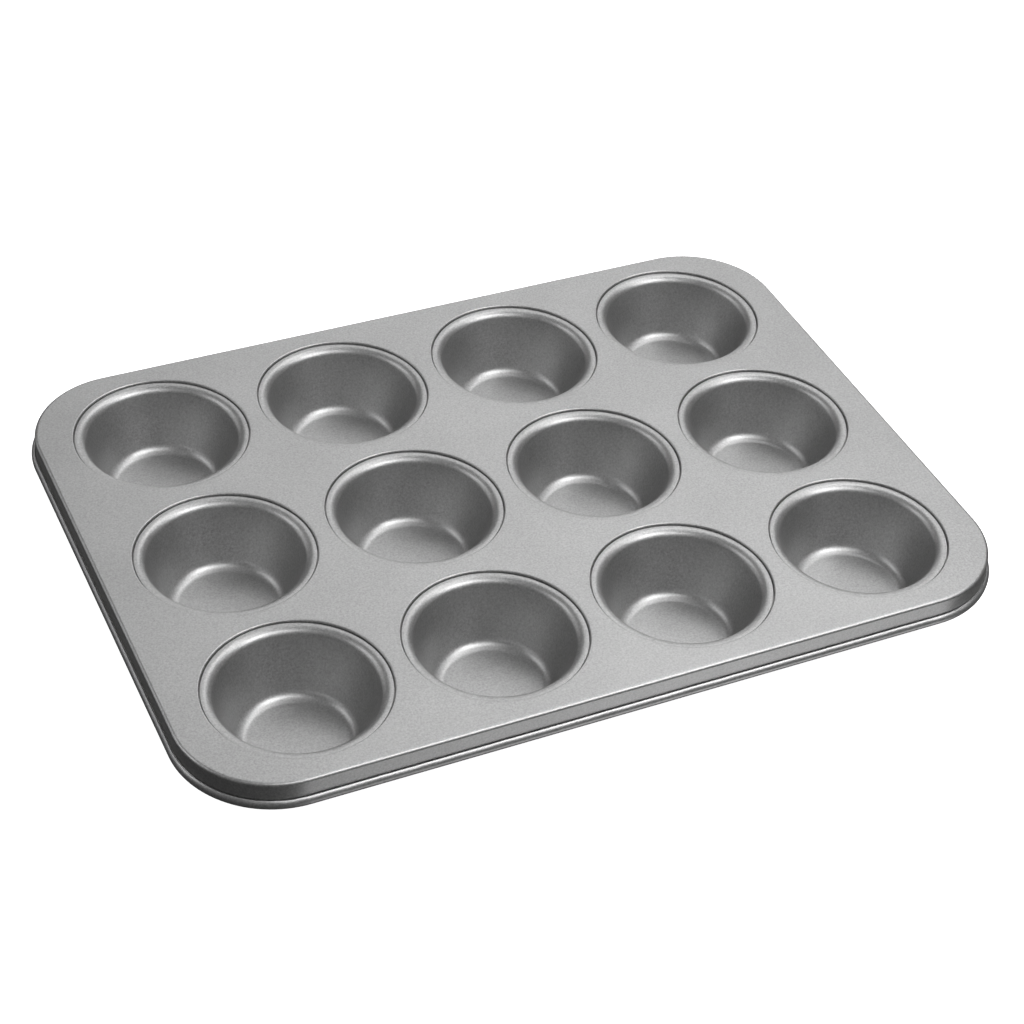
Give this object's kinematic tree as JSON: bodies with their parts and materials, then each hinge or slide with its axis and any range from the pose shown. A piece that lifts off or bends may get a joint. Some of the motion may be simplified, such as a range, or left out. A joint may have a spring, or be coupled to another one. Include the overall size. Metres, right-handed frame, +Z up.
{
  "type": "muffin tin",
  "caption": "Rectangular baking tin with round drawn cups seated in a flat plate, a short skirt and a rolled, wired rim.",
  "frame": {"origin": "on the surface that the cups stand on, under the middle of the tin", "axes": "+X along the long side with four cups, +Y towards the back row of cups, +Z up out of the cups"},
  "size_m": [0.3574, 0.2642, 0.029],
  "materials": {
    "coating": "satin silver-grey non-stick coating with a fine speckle",
    "wire": "plain drawn steel wire"
  },
  "bodies": {
    "root": {"frame_plate": "coating", "rim_wire": "wire", "cup_front_1": "coating", "cup_front_2": "coating", "cup_front_3": "coating", "cup_front_4": "coating", "cup_middle_1": "coating", "cup_middle_2": "coating", "cup_middle_3": "coating", "cup_middle_4": "coating", "cup_back_1": "coating", "cup_back_2": "coating", "cup_back_3": "coating", "cup_back_4": "coating"}
  },
  "joints": []
}
